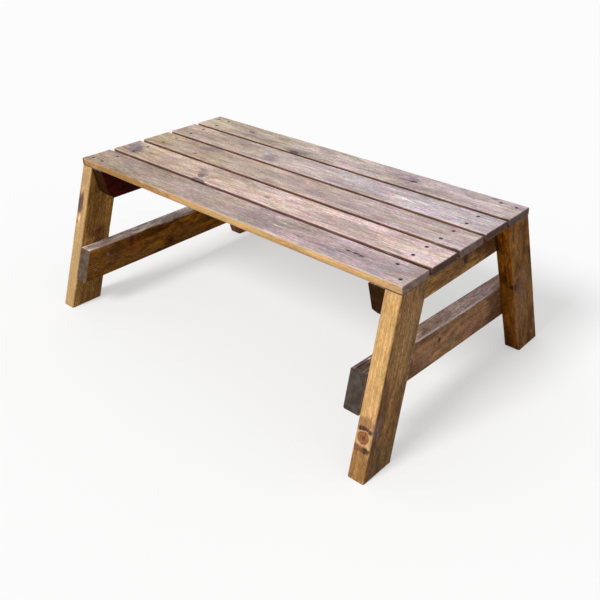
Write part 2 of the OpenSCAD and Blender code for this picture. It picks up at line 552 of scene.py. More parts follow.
# How the rings wander: size of each swell along, across and through, and how far it shifts them, in mm
RING_SWELLS = (((700, 210, 210), 16), ((130, 26, 26), 2.6), ((18, 8, 8), 0.5))

# Radians of the wave that makes a knot's own rings, from its middle to its rim
KNOT_WAVE = 19.0


def growth_rings(given):
    """Growth rings round a pith that wanders beside the timber, so that they run through it."""
    point = given["Point"]
    seeds = same_thrice(given["Seed"])
    seeded = vector_calc("ADD", point, vector_calc("MULTIPLY", (911, 577, 353), seeds))
    moved = point
    for size_mm, shift_mm in RING_SWELLS:
        way = noise_at(seeded, size_mm, shift_mm, 1).outputs["Color"]
        centred = vector_calc("SUBTRACT", way, (0.5, 0.5, 0.5))
        shift = vector_calc("MULTIPLY", centred, (0, shift_mm, shift_mm))
        moved = vector_calc("ADD", moved, shift)
    spread = same_thrice(joined("SeparateXYZ", {0: point}).outputs[0])
    leaning = vector_calc("MULTIPLY", given["Lean"], spread)
    pith = vector_calc("ADD", given["Pith"], leaning)
    from_pith = vector_calc("MULTIPLY", vector_calc("SUBTRACT", moved, pith), (0, 1, 1))
    distance = calc("ADD", vector_calc("LENGTH", from_pith), given["Bulge"])
    uneven = joined("TexNoise", {"W": distance, "Scale": 0.07, "Detail": 1.0},
                    noise_dimensions="1D").outputs[0]
    rings = calc("MULTIPLY_ADD", uneven, RING_UNEVENNESS, calc("DIVIDE", distance, RING_SPACING))
    within = calc("FRACT", rings)
    late = times(ease(within, 0.3, 0.85), ease(within, 1.0, 0.9))
    number = calc("ADD", calc("FLOOR", rings), given["Seed"])
    tone = joined("TexWhiteNoise", {"W": number}, noise_dimensions="1D").outputs[0]
    return {"Late": late, "Tone": tone}


def spot_distance(given):
    """Distance from a spot's middle as a share of its size, slanted and with an uneven edge."""
    offset = vector_calc("SUBTRACT", given["Point"], given["Centre"])
    parts = joined("SeparateXYZ", {0: offset}).outputs
    slid = calc("SUBTRACT", parts[0], times(parts[1], given["Slant"]))
    offset = joined("CombineXYZ", {0: slid, 1: parts[1], 2: parts[2]}).outputs[0]
    ragged = times(given["Wobble"], given["Ragged"])
    length = vector_calc("LENGTH", vector_calc("DIVIDE", offset, given["Size"]))
    return calc("ADD", length, ragged)


def stain_share(given):
    """A patch that fades out over its outer half."""
    return {"Share": ease(spot_distance(given), 1.2, 0.5)}


def knot_shares(given):
    """A knot: its heart, the dark rim round it, the rings in it and how it pushes the grain."""
    distance = spot_distance(given)
    wave = calc("SINE", times(distance, KNOT_WAVE))
    return {"Heart": ease(distance, 1.1, 0.9),
            "Rim": times(ease(distance, 0.86, 0.96), ease(distance, 1.12, 1.0)),
            "Rings": calc("MULTIPLY_ADD", wave, 0.5, 0.5),
            "Push": ease(distance, 3.6, 0.5)}


RINGS = new_group("growth rings", {"Point": VECTOR, "Pith": VECTOR, "Lean": VECTOR, "Bulge": FLOAT,
                                   "Seed": FLOAT}, growth_rings)
SPOT_INPUTS = {"Point": VECTOR, "Centre": VECTOR, "Size": VECTOR, "Slant": FLOAT,
               "Wobble": FLOAT, "Ragged": FLOAT}
STAIN = new_group("stain_or_painted_light", SPOT_INPUTS, stain_share)
KNOT = new_group("knot", SPOT_INPUTS, knot_shares)


# Timber finishes

# Faces of the timbers, in mm from their middle, how deep a mark on them goes, and how deep a knot
# goes that runs through a board
BOARD_TOP, BOARD_MARK_DEPTH = 11, 5
OUTER_FACE, FRAME_MARK_DEPTH = 23.5, 6
BOARD_FRONT = -50.5
LEG_FRONT = -48.5
THROUGH = 60


@dataclass
class Spot:
    """A patch of another colour at (u, v, w) mm, with half its size along each.

    slant is how far it slides along the grain for each step across it. A knot also has a rim
    colour, a colour of the rings in it, and pushes the grain aside by push mm.
    """
    centre: tuple
    size: tuple
    colour: tuple
    strength: float
    slant: float
    ragged: float
    rim: tuple = None
    ring: tuple = None
    push: float = 0.0


def stain_or_painted_light(u, v, w, half_u, half_v, half_w, colour, strength=0.6, slant=0.0, ragged=1.3):
    return Spot((u, v, w), (half_u, half_v, half_w), colour, strength, slant, ragged)


def on_top(u, v, half_u, half_v, colour, *how, **more):
    """A stain on a board's upper side."""
    return stain_or_painted_light(u, v, BOARD_TOP, half_u, half_v, BOARD_MARK_DEPTH, colour, *how, **more)


def on_face(u, v, half_u, half_v, colour, *how, **more):
    """A stain on the outer face of a leg or rail."""
    return stain_or_painted_light(u, v, OUTER_FACE, half_u, half_v, FRAME_MARK_DEPTH, colour, *how, **more)


def knot(u, v, w, half_u, half_v, half_w, heart, rim, strength=0.9, slant=0.0, push=7.0, ring=None):
    return Spot((u, v, w), (half_u, half_v, half_w), heart, strength, slant, 0.6, rim, ring or rim,
                push)


@dataclass(frozen=True)
class Figure:
    """How strongly each kind of figure shows, from 0 to 1, between a dark and a light tint."""
    dark: tuple
    light: tuple
    rings: float
    broad: float
    patch: float
    streak: float
    fibre: float
    hair: float
    speck: float
    hue: float
    fleck: float
    rubbed: float
    iron: float


@dataclass
class Finish:
    """Colours of a timber: its four long sides, its weathered upper side and its sawn ends."""
    low_v: tuple
    high_v: tuple
    low_w: tuple
    high_w: tuple
    sawn: tuple
    worn: tuple
    weathered_low_u: tuple
    weathered_high_u: tuple
    shine: float
    figure: Figure
    pale_side: int
    pith: tuple
    lean: tuple
    spots: list
    up_from: tuple = (0.35, 0.8)
    patch_mm: tuple = None


def side_mask(normal, axis, sign):
    """1 where the surface faces the given way along an axis of the timber."""
    return ease(vector_calc("DOT_PRODUCT", normal, tuple(axis * sign)), 0.55, 0.85)


def tint(red, green, blue):
    """A linear factor for each channel."""
    return (red, green, blue, 1.0)


DARKER, LIGHTER = tint(0.60, 0.56, 0.53), tint(1.36, 1.36, 1.36)
BLUER, YELLOWER = tint(0.97, 0.95, 1.09), tint(1.03, 1.03, 0.88)
REDDER, GREENER = tint(1.10, 0.93, 0.95), tint(0.92, 1.05, 0.96)
DEEPER, BRIGHTER = tint(0.50, 0.44, 0.40), tint(1.42, 1.45, 1.56)
LATE_WOOD = tint(0.56, 0.48, 0.46)


# The noises in the wood: size of a blotch in mm along, across and through the grain, a number that
# tells its seed from the others', detail and roughness
NOISES = {
    "broad": ((270, 60, 60), 1, 2, 0.5),
    "patch": ((75, 20, 20), 2, 3, 0.5),
    "streak": ((120, 5, 5), 3, 2, 0.5),
    "fibre": ((70, 2.4, 2.4), 4, 3, 0.6),
    "hair": ((16, 0.5, 0.5), 5, 2, 0.6),
    "speck": ((9, 2.6, 2.6), 13, 2, 0.6),
    "wobble": ((24, 11, 11), 6, 3, 0.5),
    "fringe": ((45, 4, 4), 14, 3, 0.5),
    "cool": ((140, 26, 26), 7, 3, 0.5),
    "green": ((52, 13, 13), 8, 3, 0.5),
    "pale dash": ((42, 2.3, 2.3), 9, 1, 0.5),
    "dark dash": ((55, 2, 2), 10, 1, 0.5),
    "soaked": ((16, 16, 16), 11, 2, 0.5),
    "pore": ((3, 1, 1), 12, 2, 0.5),
}


class Wood:
    """The sockets that one timber's colour and relief are worked out from, and their layers."""

    def __init__(self, tree, timber, finish):
        self.tree, self.timber, self.finish = tree, timber, finish
        own = add_node(tree, "Attribute", attribute_name="grain").outputs["Vector"]
        self.point = vector_calc("MULTIPLY", own, TO_MM)
        self.normal = add_node(tree, "NewGeometry").outputs["Normal"]
        self.upward = vector_calc("DOT_PRODUCT", self.normal, (0, 0, 1))
        self.up = ease(self.upward, *finish.up_from)
        self.patch = self.noise("patch", finish.patch_mm)
        self.fibre = self.noise("fibre")
        self.hair = self.noise("hair")
        self.wobble = calc("SUBTRACT", self.noise("wobble"), 0.5)
        fringe = calc("SUBTRACT", self.noise("fringe"), 0.5)
        self.frayed = calc("ADD", self.wobble, fringe)
        self.add_rings()
        self.contrast = self.side_contrast(0.3)
        self.fine_contrast = self.side_contrast(0.5)

    def noise(self, name, other_mm=None):
        """The noise of that name, which may be given another size."""
        size_mm, place, detail, roughness = NOISES[name]
        seed = self.timber.seed + 31 * place
        return noise_at(self.point, other_mm or size_mm, seed, detail, roughness).outputs[0]

    def attribute(self, name):
        return add_node(self.tree, "Attribute", attribute_name=name).outputs["Fac"]

    def spot(self, group, spot):
        return use_group(group, {
            "Point": self.point, "Centre": spot.centre, "Size": spot.size, "Slant": spot.slant,
            "Wobble": self.wobble if spot.rim else self.frayed, "Ragged": spot.ragged})

    def add_rings(self):
        """Growth rings that run round the knots."""
        finish = self.finish
        self.knots, push = [], 0.0
        for spot in finish.spots:
            if spot.rim:
                shares = self.spot(KNOT, spot)
                self.knots.append((spot, shares))
                push = calc("MULTIPLY_ADD", shares["Push"], spot.push, push)
        rings = use_group(RINGS, {
            "Point": self.point, "Pith": finish.pith, "Lean": finish.lean, "Bulge": push,
            "Seed": float(self.timber.seed)})
        self.rings = rings["Late"]
        self.late = times(self.rings, ease(rings["Tone"], 0, 1, 0.35, 1))

    def side_contrast(self, on_pale_side):
        """A factor that is 1, and less on a pale narrow side, which varies less."""
        if not self.finish.pale_side:
            return 1.0
        side = side_mask(self.normal, self.timber.across, self.finish.pale_side)
        return ease(side, 0, 1, 1.0, on_pale_side)

    def vary(self, colour, share, half_range, first, second, amount):
        """Multiplies colour by a tint between two, as share crosses the range round a half."""
        between = mix_colour(ease(share, 0.5 - half_range, 0.5 + half_range), first, second)
        return mix_colour(amount, colour, between, "MULTIPLY")

    def sides(self):
        """The colour of each side, and of the weather on the upper one, with painted shade and painted
        light in a few of them.
        """
        timber, finish = self.timber, self.finish
        high_w = side_mask(self.normal, timber.through, 1)
        colour = mix_colour(high_w, finish.low_w, finish.high_w)
        for sign, paint in ((1, finish.high_v), (-1, finish.low_v)):
            colour = mix_colour(side_mask(self.normal, timber.across, sign), colour, paint)
        along = joined("SeparateXYZ", {0: self.point}).outputs[0]
        reach = timber.high_end(0) / MM
        ends = finish.weathered_low_u, finish.weathered_high_u
        return mix_colour(self.up, colour, mix_colour(ease(along, -reach, reach), *ends))

    def figured(self, colour):
        """Growth rings, blotches and streaks."""
        figure = self.finish.figure
        late = times(times(self.late, self.contrast), figure.rings)
        colour = mix_colour(late, colour, LATE_WOOD, "MULTIPLY")
        for share, half_range, amount in ((self.noise("broad"), 0.2, figure.broad),
                                          (self.patch, 0.22, figure.patch),
                                          (self.noise("streak"), 0.25, figure.streak)):
            colour = self.vary(colour, share, half_range, figure.dark, figure.light,
                               times(self.contrast, amount))
        colour = self.vary(colour, self.noise("cool"), 0.2, BLUER, YELLOWER, figure.hue)
        return self.vary(colour, self.noise("green"), 0.2, REDDER, GREENER, figure.hue)

    def grained(self, colour):
        """The fine grain that runs through everything: fibres, hairs and specks."""
        figure = self.finish.figure
        for share, amount in ((self.fibre, figure.fibre), (self.hair, figure.hair),
                              (self.noise("speck"), figure.speck)):
            colour = self.vary(colour, share, 0.18, figure.dark, figure.light,
                               times(self.fine_contrast, amount))
        return colour

    def flecked(self, colour):
        """Short pale dashes, which are thickest in the lighter patches, and dark ones."""
        pale = ease(self.noise("pale dash"), 0.63, 0.72)
        pale = times(pale, ease(self.patch, 0.42, 0.6, 0.1, 0.75))
        worn = mix_colour(self.up, self.finish.worn, PALE)
        colour = mix_colour(times(pale, self.finish.figure.fleck), colour, worn)
        dark = ease(self.noise("dark dash"), 0.62, 0.72)
        return mix_colour(times(dark, 0.6), colour, LATE_WOOD, "MULTIPLY")

    def stained(self, colour):
        """Stains listed one by one, among them painted highlights and painted shade, and the black
        that the steel of the screws leaves in wet timber.
        """
        self.covered = 0.0
        lines = ease(self.fibre, 0.3, 0.62, 0.65, 1.0)
        for spot in self.finish.spots:
            if not spot.rim:
                share = times(times(self.spot(STAIN, spot)["Share"], lines), spot.strength)
                colour = mix_colour(share, colour, spot.colour)
                self.covered = calc("MAXIMUM", self.covered, share)
        iron = calc("ADD", self.attribute("iron"), times(self.wobble, 0.9))
        iron = times(ease(iron, 0.35, 1.05), self.finish.figure.iron)
        return mix_colour(iron, colour, IRON_BLACK)

    def knotted(self, colour):
        """Knots over colour, and how far they lie below the surface."""
        relief = 0.0
        for spot, shares in self.knots:
            ringed = mix_colour(times(shares["Rings"], 0.6), spot.colour, spot.ring)
            colour = mix_colour(times(shares["Heart"], spot.strength), colour, ringed)
            colour = mix_colour(times(shares["Rim"], 0.85 * spot.strength), colour, spot.rim)
            relief = calc("MULTIPLY_ADD", shares["Rim"], -0.5, relief)
        return colour, relief

    def ended(self, colour):
        """Sawn ends: growth rings seen from their end, and blotches where rain has soaked in."""
        facing = vector_calc("DOT_PRODUCT", self.normal, tuple(self.timber.along))
        sawn = ease(calc("ABSOLUTE", facing), 0.4, 0.6)
        end = mix_colour(times(self.rings, 0.5), self.finish.sawn, LATE_WOOD, "MULTIPLY")
        end = self.vary(end, self.noise("soaked"), 0.2, DEEPER, BRIGHTER, 0.6)
        end = self.vary(end, self.noise("pore"), 0.2, DARKER, LIGHTER, 0.5)
        return mix_colour(sawn, colour, end), sawn

    def rubbed(self, colour):
        """Stain rubbed off the edges, except where a later stain or painted highlight covers them."""
        uneven = ease(calc("ADD", self.wobble, self.fibre), 0.2, 0.8, 0.35, 1.0)
        uneven = times(uneven, ease(self.upward, -0.6, -0.2))
        uneven = calc("SUBTRACT", uneven, times(uneven, self.covered))
        share = times(times(self.attribute("wear"), uneven), self.finish.figure.rubbed)
        return mix_colour(share, colour, self.finish.worn)

    def bumped(self, knots):
        """The surface's relief, from standing late wood, fibres and knots."""
        height = knots
        for share, amount in ((self.late, 0.5), (self.fibre, 0.8), (self.hair, 0.4)):
            height = calc("MULTIPLY_ADD", share, amount, height)
        return bump(height, 0.8, WOOD_RELIEF)


def timber_material(timber, finish):
    """Stained softwood, weathered on top, with rings, fibres, knots, stains and worn edges, and in
    places painted light and shade.
    """
    material, tree = new_material(f"{timber.node} softwood")
    wood = Wood(tree, timber, finish)
    colour = wood.flecked(wood.figured(wood.sides()))
    colour, knots = wood.knotted(wood.stained(colour))
    colour, sawn = wood.ended(wood.grained(colour))
    colour = wood.rubbed(colour)
    rough = ease(calc("ADD", wood.fibre, wood.wobble), 0.2, 0.8, 0.7, 0.52)
    rough = calc("MULTIPLY_ADD", sawn, 0.2, rough, clamp=True)
    add_surface(tree, "BsdfPrincipled", {
        "Base Color": colour, "Roughness": rough, "Normal": wood.bumped(knots),
        "Specular IOR Level": finish.shine})
    return material


def new_material(name):
    material = bpy.data.materials.new(name)
    material.use_nodes = True
    material.node_tree.nodes.clear()
    return material, material.node_tree


def add_surface(tree, kind, inputs):
    """Adds the shader that a material shows."""
    shader = add_node(tree, kind, inputs)
    add_node(tree, "OutputMaterial", {"Surface": shader.outputs[0]})


# Screen colours of the stained and weathered timber; the brown of the boards' gap sides holds painted
# shade
GOLDEN = (218, 174, 112)
FRONT_GOLDEN = (206, 166, 112)
# The boards' sides that face the gaps are darkened with painted shade, for the shade deep in the
# narrow gaps
GAP_SHADE_BROWN = (107, 76, 67)
UNDERSIDE = (150, 112, 78)
FRAME_BROWN = (134, 94, 50)
INNER_BROWN = (104, 64, 26)
FRAME_WORN = (176, 132, 92)
TOP_WORN = (206, 182, 164)
PALE = (232, 214, 204)
PURPLE = (134, 118, 126)
DARK_PURPLE = (84, 70, 80)
KNOT_BLACK = (52, 38, 42)
MAUVE = (158, 138, 142)
BLUISH = (168, 164, 176)
VIOLET = (158, 144, 184)
GREENISH = (172, 160, 112)
TAN = (160, 135, 110)
RED_BROWN = (110, 58, 30)
BARK = (44, 26, 16)
OLIVE = (88, 76, 34)
IRON_BLACK = (48, 36, 44)


# Knots and stains on each board, mostly on its upper side
BOARD_SPOTS = {
    1: [on_top(-150, 0, 150, 45, (200, 182, 176), 0.35),
        stain_or_painted_light(-598, BOARD_FRONT, 0, 12, 8, 20, (84, 62, 30), 0.9, ragged=0.6),
        stain_or_painted_light(-400, BOARD_FRONT, 0, 230, 6, 20, (142, 98, 36), 0.8),
        stain_or_painted_light(190, BOARD_FRONT, -4, 170, 6, 3, (172, 120, 66), 0.55),
        stain_or_painted_light(330, BOARD_FRONT, -8, 100, 6, 2.5, (192, 114, 58), 0.6),
        stain_or_painted_light(430, BOARD_FRONT, 3, 130, 6, 3, (240, 202, 136), 0.7),
        on_top(425, 5, 50, 17, MAUVE, 0.5),
        knot(426, 5, 0, 7, 4, THROUGH, KNOT_BLACK, KNOT_BLACK, push=5),
        on_top(403, 5, 8, 4, DARK_PURPLE, 0.95),
        on_top(442, 4, 9, 4.5, DARK_PURPLE, 0.95),
        on_top(423, 5, 34, 2, KNOT_BLACK, 0.85),
        on_top(411, 12, 15, 3.5, BLUISH, 0.7),
        on_top(380, -32, 26, 8, VIOLET, 0.5, slant=-1.0),
        on_top(512, -40, 28, 7, VIOLET, 0.5),
        on_top(125, 2, 66, 42, (150, 134, 136), 0.8, slant=-0.5),
        on_top(188, -7, 38, 2.5, PALE, 0.7),
        on_top(-120, -30, 75, 12, MAUVE, 0.5),
        on_top(-325, 5, 40, 20, (150, 138, 120), 0.45, slant=0.8)],
    2: [on_top(-556, -4, 38, 44, PURPLE, 0.95, slant=-0.5),
        on_top(-532, -12, 17, 26, DARK_PURPLE, 0.55, slant=-0.5),
        knot(-215, -25, 0, 13, 10, THROUGH, PURPLE, DARK_PURPLE, slant=-0.6),
        on_top(-226, -8, 20, 28, PURPLE, 0.75, slant=-0.8),
        on_top(-180, -17, 9, 17, TAN, 0.8, slant=0.9),
        knot(-200, -48, 0, 34, 7, 14, KNOT_BLACK, DARK_PURPLE, push=4),
        on_top(-96, 16, 25, 2.5, PALE, 0.85),
        knot(38, -10, 0, 9, 7, THROUGH, PURPLE, MAUVE, 0.75, slant=-0.5),
        on_top(92, 25, 16, 10, PALE, 0.6),
        on_top(-400, 12, 60, 14, BLUISH, 0.3)],
    3: [on_top(-150, 0, 150, 45, (208, 193, 182), 0.42),
        on_top(-553, 0, 36, 40, GREENISH, 0.5, slant=-0.4),
        on_top(-357, 30, 46, 22, (134, 114, 120), 0.95, slant=0.6),
        knot(-373, -27, 0, 7, 6, THROUGH, (126, 96, 76), TAN, 0.85),
        on_top(-308, 2, 56, 34, (190, 174, 148), 0.5, slant=-0.7),
        on_top(-46, -36, 28, 16, MAUVE, 0.6),
        on_top(283, -40, 54, 5, PALE, 0.55),
        on_top(420, 30, 60, 14, MAUVE, 0.4)],
    4: [on_top(-140, 8, 150, 42, (212, 200, 194), 0.32),
        on_top(450, 0, 160, 45, (226, 219, 230), 0.3),
        on_top(-504, -3, 24, 3, (205, 192, 150), 0.7),
        on_top(-167, -18, 32, 30, (144, 126, 138), 0.95, slant=-0.3),
        on_top(-218, 22, 16, 16, BLUISH, 0.7, slant=-0.8),
        on_top(-66, 0, 36, 5, PALE, 0.7),
        on_top(115, -2, 78, 4, (208, 202, 176), 0.55),
        on_top(234, -7, 42, 23, (166, 154, 172), 0.6),
        on_top(366, 20, 40, 13, BLUISH, 0.75),
        on_top(318, -2, 22, 7, (246, 236, 236), 0.95, slant=-3.0, ragged=0.5),
        on_top(371, 4, 24, 8, (246, 236, 240), 0.95, slant=-3.0, ragged=0.5),
        on_top(412, -4, 10, 4, PALE, 0.6),
        on_top(488, -4, 9, 4, PALE, 0.7)],
    5: [knot(-388, 2, 0, 12, 8, THROUGH, DARK_PURPLE, PURPLE, 0.85, slant=-0.8),
        on_top(-392, 8, 26, 18, MAUVE, 0.6, slant=-0.8),
        knot(-150, -45, 0, 22, 9, 16, KNOT_BLACK, DARK_PURPLE, push=4),
        on_top(-140, -44, 40, 20, (96, 82, 92), 0.8),
        on_top(-85, -2, 18, 5, PALE, 0.5),
        on_top(92, -2, 14, 10, TAN, 0.55, slant=-0.6),
        knot(269, -2, 0, 11, 6, THROUGH, KNOT_BLACK, DARK_PURPLE, slant=0.4),
        on_top(252, 4, 46, 28, (150, 131, 138), 0.7, slant=-0.6),
        on_top(262, 12, 22, 11, (132, 118, 140), 0.85),
        on_top(231, 13, 12, 8, (200, 174, 180), 0.7),
        on_top(243, -4, 26, 3.5, DARK_PURPLE, 0.9),
        on_top(278, -14, 13, 3.5, PALE, 0.8),
        on_top(506, 37, 13, 8, DARK_PURPLE, 0.7),
        on_top(492, -36, 4, 3, KNOT_BLACK, 0.8)],
}


def gap_end_shade_spots(number):
    """Painted shade on a board's front side, where the gap in front of it ends."""
    if number == 1:
        return []
    return [stain_or_painted_light(590, BOARD_FRONT, -2, 22, 5, 16, (72, 50, 44), 0.85, ragged=0.6)]


# Knots and stains on the legs and rails, and painted highlights along two of their arrises
FRAME_SPOTS = {
    "leg_front_right": [
        knot(342, LEG_FRONT, -1.5, 17, 60, 17.5, (150, 100, 62), (206, 160, 112), 0.95,
             push=12, ring=(112, 68, 44)),
        knot(342, LEG_FRONT, -1, 5.5, 60, 4.5, (88, 42, 34), (120, 74, 52), 0.75, push=0),
        stain_or_painted_light(306, LEG_FRONT, 0, 17, 20, 30, (146, 104, 66), 0.85, ragged=0.6),
        stain_or_painted_light(322, LEG_FRONT, 0, 8, 20, 28, (62, 36, 32), 1.0, ragged=0.7),
        stain_or_painted_light(413, LEG_FRONT, 0, 52, 18, 60, (122, 80, 36), 0.85),
        stain_or_painted_light(416, LEG_FRONT, -3, 30, 18, 5, (190, 140, 80), 0.6),
        stain_or_painted_light(367, LEG_FRONT, 11, 9, 16, 14, (52, 38, 16), 1.0, ragged=0.8),
        stain_or_painted_light(368, LEG_FRONT, -13, 10, 14, 15, (112, 66, 50), 0.9, ragged=0.6),
        stain_or_painted_light(359, LEG_FRONT, 17, 5, 8, 3, (236, 206, 150), 0.8, ragged=0.4),
        stain_or_painted_light(314, -36, OUTER_FACE, 32, 16, 8, (140, 114, 108), 0.55),
        stain_or_painted_light(231, -21, OUTER_FACE, 7, 2, 5, BARK, 0.8),
        on_face(374, -34, 22, 18, OLIVE, 0.5),
        on_face(100, 6, 140, 60, (194, 150, 92), 0.75),
        on_face(30, -26, 60, 22, (176, 132, 80), 0.6),
        on_face(400, -30, 40, 16, (150, 112, 66), 0.5),
        on_face(110, 36, 70, 8, OLIVE, 0.5),
        on_face(230, -30, 40, 9, (118, 72, 58), 0.5),
        on_face(400, 10, 50, 30, (108, 84, 48), 0.5)],
    "leg_front_left": [
        stain_or_painted_light(330, LEG_FRONT, 0, 170, 20, 60, (180, 148, 96), 0.75),
        stain_or_painted_light(118, LEG_FRONT, -11, 42, 12, 17, (80, 58, 56), 1.0),
        stain_or_painted_light(164, LEG_FRONT, -6, 16, 10, 5, (250, 212, 160), 0.8),
        stain_or_painted_light(176, LEG_FRONT, -14, 6, 8, 5, OLIVE, 0.7),
        on_face(120, 5, 50, 44, (146, 100, 38), 0.5),
        on_face(395, 0, 60, 60, (140, 98, 44), 0.6),
        knot(200, 4, OUTER_FACE, 8, 15, 30, RED_BROWN, BARK, 0.5, slant=-0.6),
        on_face(196, 0, 26, 30, (120, 72, 44), 0.6),
        on_face(40, 0, 40, 30, OLIVE, 0.45)],
    "leg_back_right": [
        on_face(235, 0, 100, 50, (158, 114, 66), 0.6),
        stain_or_painted_light(230, 48, 0, 60, 6, 40, (166, 108, 34), 0.6),
        on_face(182, 30, 20, 26, (66, 42, 22), 0.6, slant=0.2),
        knot(182, 44, OUTER_FACE, 9, 11, 18, BARK, RED_BROWN),
        stain_or_painted_light(158, -42, OUTER_FACE, 34, 10, 8, OLIVE, 0.85),
        on_face(190, 18, 40, 22, (122, 92, 86), 0.5, slant=0.6),
        on_face(70, 2, 80, 13, (150, 108, 60), 0.55),
        on_face(170, -4, 40, 12, (152, 110, 70), 0.7),
        stain_or_painted_light(400, -21, OUTER_FACE, 5, 2.5, 4, PALE, 0.7),
        on_face(270, 16, 70, 20, (136, 102, 74), 0.6),
        on_face(360, -24, 60, 14, (112, 62, 42), 0.6),
        # Painted highlights along the arris between the inner narrow face and the outer face
        stain_or_painted_light(300, 47, 22, 110, 6, 6, (170, 126, 92), 0.55),
        stain_or_painted_light(60, 47, 22, 90, 5, 5, (160, 110, 60), 0.5)],
    "leg_back_left": [
        knot(250, -20, OUTER_FACE, 12, 10, 30, RED_BROWN, BARK)],
    "low_rail_left": [
        on_face(-280, 0, 110, 60, (156, 108, 48), 0.6),
        on_face(40, -20, 110, 34, (104, 64, 16), 0.55),
        knot(-196, 30, OUTER_FACE, 8, 18, 30, BARK, RED_BROWN, 0.7, slant=0.2),
        on_face(-196, 20, 24, 34, (140, 74, 26), 0.7),
        on_face(-250, 22, 34, 14, (70, 44, 14), 0.7),
        on_face(-120, 24, 40, 12, (66, 40, 14), 0.7),
        on_face(-222, -6, 26, 7, (146, 106, 60), 0.7, slant=1.2),
        knot(-46, -22, OUTER_FACE, 9, 8, 30, (64, 30, 22), BARK, 0.75),
        on_face(-50, -18, 26, 20, (78, 40, 30), 0.6),
        on_face(-60, 0, 220, 6, (122, 84, 46), 0.6),
        on_face(-150, -28, 80, 12, (140, 104, 60), 0.65),
        on_face(40, -34, 60, 12, (126, 90, 48), 0.6),
        on_face(160, 10, 90, 26, (84, 56, 26), 0.5),
        stain_or_painted_light(-285, 48, 0, 60, 8, 40, (124, 102, 90), 0.8),
        stain_or_painted_light(30, 48, 0, 130, 8, 40, (226, 208, 196), 0.6),
        stain_or_painted_light(-175, 48, -6, 12, 8, 8, KNOT_BLACK, 0.8),
        stain_or_painted_light(-180, 48, 8, 6, 8, 5, PALE, 0.6),
        on_face(-272, -2, 30, 40, (104, 66, 40), 0.5),
        stain_or_painted_light(-200, 48, 0, 34, 8, 40, MAUVE, 0.5)],
    "low_rail_right": [
        knot(-46, 10, OUTER_FACE, 6, 7, 30, BARK, RED_BROWN),
        on_face(-163, -1, 7, 17, DARK_PURPLE, 0.9),
        stain_or_painted_light(-163, 13, OUTER_FACE, 4, 4, 4, PALE, 0.85),
        on_face(110, -16, 60, 24, (140, 96, 84), 0.5),
        on_face(-110, -16, 40, 30, (128, 96, 84), 0.45),
        on_face(10, -16, 34, 26, (104, 92, 62), 0.45),
        on_face(215, 14, 46, 46, (80, 46, 38), 0.7),
        stain_or_painted_light(130, 48, 0, 130, 8, 40, (212, 192, 196), 0.6),
        stain_or_painted_light(-330, 48, 0, 130, 16, 60, (52, 36, 28), 1.0),
        # A painted highlight along the outer top arris
        stain_or_painted_light(20, 47.6, 21.8, 240, 3.4, 3.4, (255, 240, 230), 1.0, ragged=0.25)],
    "top_rail_right": [
        knot(54, -7, OUTER_FACE, 8, 14, 30, BARK, (84, 52, 40)),
        on_face(54, -7, 26, 22, (104, 68, 50), 0.6),
        on_face(-50, -20, 60, 14, (150, 108, 56), 0.5),
        on_face(170, 0, 76, 60, (76, 34, 20), 0.8)],
    "top_rail_left": [
        knot(90, 6, OUTER_FACE, 9, 10, 30, BARK, RED_BROWN)],
}


# Weathered colour at the two ends of each board, colour of its sawn ends, and its pith and its lean
BOARDS = {
    1: ((162, 147, 135), (189, 175, 180), (150, 126, 114), (0, 30, -60), 0.016),
    2: ((198, 180, 163), (221, 203, 206), (70, 43, 31), (0, -18, -74), -0.014),
    3: ((178, 161, 143), (194, 181, 186), (123, 105, 94), (0, 10, -66), 0.012),
    4: ((186, 171, 160), (204, 196, 208), (87, 54, 44), (0, -8, -58), -0.018),
    5: ((184, 173, 160), (198, 187, 194), (98, 86, 76), (0, 22, -70), 0.014),
}

TOP_FIGURE = Figure(DARKER, LIGHTER, rings=0.3, broad=0.5, patch=0.5, streak=0.38, fibre=0.6,
                    hair=0.7, speck=0.55, hue=0.75, fleck=0.6, rubbed=0.45, iron=0.85)
FRAME_FIGURE = Figure(DEEPER, BRIGHTER, rings=0.3, broad=0.85, patch=0.75, streak=0.3, fibre=0.6,
                      hair=0.6, speck=0.75, hue=0.4, fleck=0.3, rubbed=0.55, iron=0.35)
SMOOTH_FIGURE = replace(FRAME_FIGURE, broad=1.0, streak=0.15, fibre=0.4, hair=0.45, speck=0.6)
BLOTCHED_FIGURE = replace(FRAME_FIGURE, dark=tint(0.43, 0.39, 0.38), light=tint(1.56, 1.56, 1.64),
                          broad=1.0, patch=1.0, streak=0.2, fibre=0.35, hair=0.4, speck=0.6)

